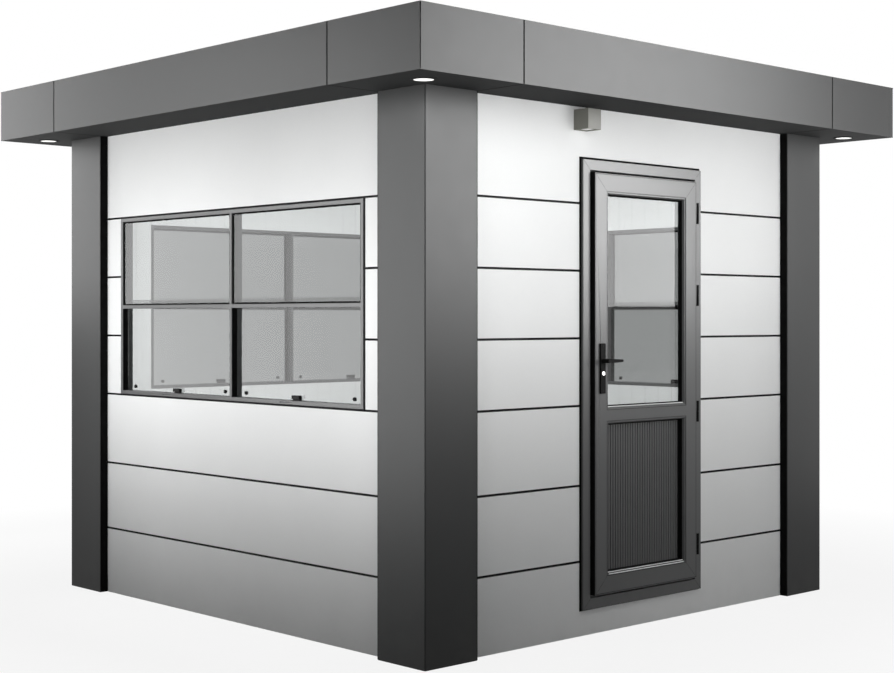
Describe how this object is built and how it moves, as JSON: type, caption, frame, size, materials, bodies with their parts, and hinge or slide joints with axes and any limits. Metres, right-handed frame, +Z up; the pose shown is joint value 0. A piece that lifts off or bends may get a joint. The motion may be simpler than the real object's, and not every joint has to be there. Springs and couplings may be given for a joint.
{
  "type": "security guard booth",
  "caption": "Square guard booth with dark corner posts, white panelled walls, sash windows, a hinged half-glazed door and a flat roof with a deep overhanging fascia.",
  "frame": {"origin": "on the ground under the centre of the booth's plan", "axes": "+Z up; the door wall faces -Y, with the door hinged on its +X side; +X to the right seen from the door side"},
  "size_m": [3.456, 3.456, 2.722],
  "materials": {
    "base_steel": "satin",
    "floor": "matte vinyl",
    "dark_coated_metal": "fine satin powder coat",
    "wall_core": "satin lining",
    "white_panel": "satin coated panel",
    "frame_coated_metal": "satin powder coat",
    "glass": "clear",
    "black_rubber": "matte",
    "black_plastic": "matte",
    "black_metal": "satin",
    "bright_steel": "brushed",
    "roof_membrane": "matte membrane",
    "light_lens": "opal, lit",
    "lamp_coated_metal": "satin"
  },
  "bodies": {
    "booth": {"base_frame": "base_steel", "floor_deck": "floor", "corner_post_front_left": "dark_coated_metal", "corner_post_front_right": "dark_coated_metal", "corner_post_back_left": "dark_coated_metal", "corner_post_back_right": "dark_coated_metal", "front_wall_left": "wall_core", "front_wall_right": "wall_core", "front_wall_header": "wall_core", "left_wall": "wall_core", "back_wall": "wall_core", "right_wall": "wall_core", "front_cladding": "white_panel", "left_cladding": "white_panel", "back_cladding": "white_panel", "right_cladding": "white_panel", "left_window_frame": "frame_coated_metal", "back_window_frame": "frame_coated_metal", "right_window_frame": "frame_coated_metal", "fixed_panes": "glass", "sash_panes": "glass", "window_gaskets": "black_rubber", "sash_channels": "black_rubber", "sash_latches": "black_plastic", "door_lock_jamb": "frame_coated_metal", "door_hinge_jamb": "frame_coated_metal", "door_head": "frame_coated_metal", "door_threshold": "frame_coated_metal", "hinge_frame_halves": "black_metal", "ceiling_panel": "wall_core", "roof_deck": "roof_membrane", "fascia_corners": "dark_coated_metal", "fascia_runs": "dark_coated_metal", "downlight_bezels": "dark_coated_metal", "downlight_lenses": "light_lens", "wall_light_housing": "lamp_coated_metal", "wall_light_lenses": "light_lens"},
    "door": {"door_leaf_frame": "frame_coated_metal", "door_glass": "glass", "door_ribbed_panel": "frame_coated_metal", "door_glazing_beads": "frame_coated_metal", "hinge_leaf_halves": "black_metal", "handle_plates": "black_metal", "lock_cylinder": "bright_steel"},
    "lever": {"lever_handle": "black_metal"}
  },
  "joints": [
    {"name": "door_hinge", "type": "hinge", "parent": "booth", "child": "door", "pos_m": [0.39, -1.441, 1.168], "axis": [0, 0, 1], "range_deg": [0, 110]},
    {"name": "lever_turn", "type": "hinge", "parent": "door", "child": "lever", "pos_m": [-0.331, -1.445, 1.275], "axis": [0, 1, 0], "range_deg": [0, 40], "stiffness_Nm_per_rad": 1, "springref_deg": -20.05}
  ]
}
